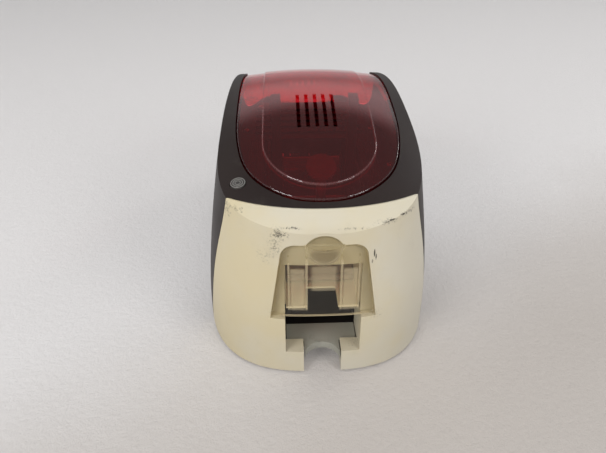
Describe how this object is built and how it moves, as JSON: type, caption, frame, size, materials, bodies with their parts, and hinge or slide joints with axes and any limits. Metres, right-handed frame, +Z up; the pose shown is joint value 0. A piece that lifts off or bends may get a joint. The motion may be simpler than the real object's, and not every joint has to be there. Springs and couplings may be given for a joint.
{
  "type": "id card printer",
  "caption": "Desktop printer for plastic identity cards: rounded body, hinged see-through top cover, tilting feeder lid above a card mouth, and a ribbon, print head and roller train inside.",
  "frame": {"origin": "middle of the printer's width and length, on the surface its feet stand on", "axes": "+Z up, front of the printer faces -Y, +X to the viewer's right"},
  "size_m": [0.2, 0.3797, 0.1903],
  "materials": {
    "dark_shell": "fine texture",
    "cream": "yellowed, satin",
    "red_clear": "see-through",
    "smoke_clear": "see-through",
    "grey_clear": "see-through",
    "grey": "satin",
    "black": "satin",
    "foot": "matte",
    "roller_rubber": "matte",
    "steel": "brushed",
    "head_metal": "satin",
    "gear_white": "satin",
    "bushing": "satin",
    "board": "solder mask",
    "film": "glossy"
  },
  "bodies": {
    "housing": {"base_pan": "dark_shell", "rubber_feet": "foot", "base_screws": "steel", "body_shell": "dark_shell", "front_fascia": "cream", "output_tray": "grey", "output_hopper": "black", "feeder_bin": "cream", "inner_deck": "black", "chassis": "steel", "chassis_screws": "steel", "roller_bushes": "bushing", "card_guide": "steel", "rear_bulkhead": "black", "hinge_brackets": "black", "hinge_pins": "steel", "button_board": "board", "main_board": "board", "board_standoffs": "bushing", "board_screws": "steel", "power_jack": "black", "usb_socket": "steel", "rear_panel": "black", "drive_motor": "steel", "gear_axles": "steel", "ribbon_film": "film"},
    "cover": {"top_cover": "red_clear", "cover_latch": "black", "head_carrier": "black", "film_guide_bars": "steel", "head_springs": "steel"},
    "head": {"print_head": "head_metal"},
    "lid": {"feeder_lid": "smoke_clear"},
    "button": {"control_button": "grey_clear"},
    "catch": {"latch_catch": "black"},
    "pusher": {"card_pusher": "black"},
    "platen": {"platen_shaft": "steel", "platen_roller": "roller_rubber", "platen_gear": "gear_white"},
    "entry_drive": {"entry_shaft": "steel", "entry_roller": "roller_rubber", "entry_gear": "gear_white"},
    "rear_drive": {"rear_shaft": "steel", "rear_roller": "roller_rubber", "rear_gear": "gear_white"},
    "feed_drive": {"feed_shaft": "steel", "feed_roller": "roller_rubber", "feed_gear": "gear_white"},
    "entry_idler_wheel": {"entry_idler": "gear_white"},
    "rear_idler_wheel": {"rear_idler": "gear_white"},
    "feed_idler_wheel": {"feed_idler": "gear_white"},
    "motor_idler_wheel": {"motor_idler": "gear_white"},
    "pinion": {"motor_pinion": "bushing"},
    "entry_pinch": {"entry_pinch_roller": "steel"},
    "rear_pinch": {"rear_pinch_roller": "steel"},
    "cleaner": {"cleaning_roller": "roller_rubber"},
    "supply": {"supply_spool": "gear_white", "supply_film": "film"},
    "takeup": {"takeup_spool": "gear_white", "takeup_film": "film"}
  },
  "joints": [
    {"name": "cover_hinge", "type": "hinge", "parent": "housing", "child": "cover", "pos_m": [0, 0.156, 0.099], "axis": [-1, 0, 0], "range_deg": [0, 75]},
    {"name": "head_pivot", "type": "hinge", "parent": "cover", "child": "head", "pos_m": [0, -0.033, 0.072], "axis": [-1, 0, 0], "range_deg": [0, 3], "stiffness_Nm_per_rad": 0.15, "springref_deg": -11.46, "deforming": ["head_springs"]},
    {"name": "lid_hinge", "type": "hinge", "parent": "housing", "child": "lid", "pos_m": [0, -0.1798, 0.0642], "axis": [1, 0, 0], "range_deg": [0, 50]},
    {"name": "button_press", "type": "slide", "parent": "housing", "child": "button", "axis": [0, 0, -1], "range_m": [0, 0.0006], "stiffness_N_per_m": 1500, "springref_m": -0.0005},
    {"name": "catch_slide", "type": "slide", "parent": "housing", "child": "catch", "axis": [0, 1, 0], "range_m": [0, 0.0024], "stiffness_N_per_m": 400, "springref_m": -0.001},
    {"name": "pusher_hinge", "type": "hinge", "parent": "housing", "child": "pusher", "pos_m": [0, -0.1, 0.0925], "axis": [-1, 0, 0], "range_deg": [0, 35]},
    {"name": "platen_spin", "type": "hinge", "parent": "housing", "child": "platen", "pos_m": [0, -0.04, 0.044], "axis": [1, 0, 0], "continuous": true},
    {"name": "entry_spin", "type": "hinge", "parent": "housing", "child": "entry_drive", "pos_m": [0, -0.0688, 0.044], "axis": [1, 0, 0], "continuous": true},
    {"name": "rear_spin", "type": "hinge", "parent": "housing", "child": "rear_drive", "pos_m": [0, -0.0112, 0.044], "axis": [1, 0, 0], "continuous": true},
    {"name": "feed_spin", "type": "hinge", "parent": "housing", "child": "feed_drive", "pos_m": [0, -0.106, 0.0499], "axis": [1, 0, 0], "continuous": true},
    {"name": "entry_idler_spin", "type": "hinge", "parent": "housing", "child": "entry_idler_wheel", "pos_m": [0, -0.0544, 0.044], "axis": [1, 0, 0], "continuous": true},
    {"name": "rear_idler_spin", "type": "hinge", "parent": "housing", "child": "rear_idler_wheel", "pos_m": [0, -0.0256, 0.044], "axis": [1, 0, 0], "continuous": true},
    {"name": "feed_idler_spin", "type": "hinge", "parent": "housing", "child": "feed_idler_wheel", "pos_m": [0, -0.08799, 0.04326], "axis": [1, 0, 0], "continuous": true},
    {"name": "motor_idler_spin", "type": "hinge", "parent": "housing", "child": "motor_idler_wheel", "pos_m": [0, 0.00625, 0.036], "axis": [1, 0, 0], "continuous": true},
    {"name": "pinion_spin", "type": "hinge", "parent": "housing", "child": "pinion", "pos_m": [0, 0.01934, 0.03], "axis": [1, 0, 0], "continuous": true},
    {"name": "entry_pinch_spin", "type": "hinge", "parent": "housing", "child": "entry_pinch", "pos_m": [0, -0.0688, 0.05435], "axis": [1, 0, 0], "continuous": true},
    {"name": "rear_pinch_spin", "type": "hinge", "parent": "housing", "child": "rear_pinch", "pos_m": [0, -0.0112, 0.05435], "axis": [1, 0, 0], "continuous": true},
    {"name": "cleaner_spin", "type": "hinge", "parent": "housing", "child": "cleaner", "pos_m": [0, -0.0835, 0.05485], "axis": [1, 0, 0], "continuous": true},
    {"name": "supply_spin", "type": "hinge", "parent": "housing", "child": "supply", "pos_m": [0, 0.005, 0.088], "axis": [1, 0, 0], "continuous": true},
    {"name": "takeup_spin", "type": "hinge", "parent": "housing", "child": "takeup", "pos_m": [0, -0.072, 0.091], "axis": [1, 0, 0], "continuous": true}
  ],
  "couplings": [
    {"joint": "entry_spin", "follows": "platen_spin", "ratio": 1},
    {"joint": "rear_spin", "follows": "platen_spin", "ratio": 1},
    {"joint": "feed_spin", "follows": "platen_spin", "ratio": 1},
    {"joint": "entry_idler_spin", "follows": "platen_spin", "ratio": -2},
    {"joint": "rear_idler_spin", "follows": "platen_spin", "ratio": -2},
    {"joint": "feed_idler_spin", "follows": "platen_spin", "ratio": -1},
    {"joint": "motor_idler_spin", "follows": "platen_spin", "ratio": -1},
    {"joint": "pinion_spin", "follows": "platen_spin", "ratio": 2}
  ]
}
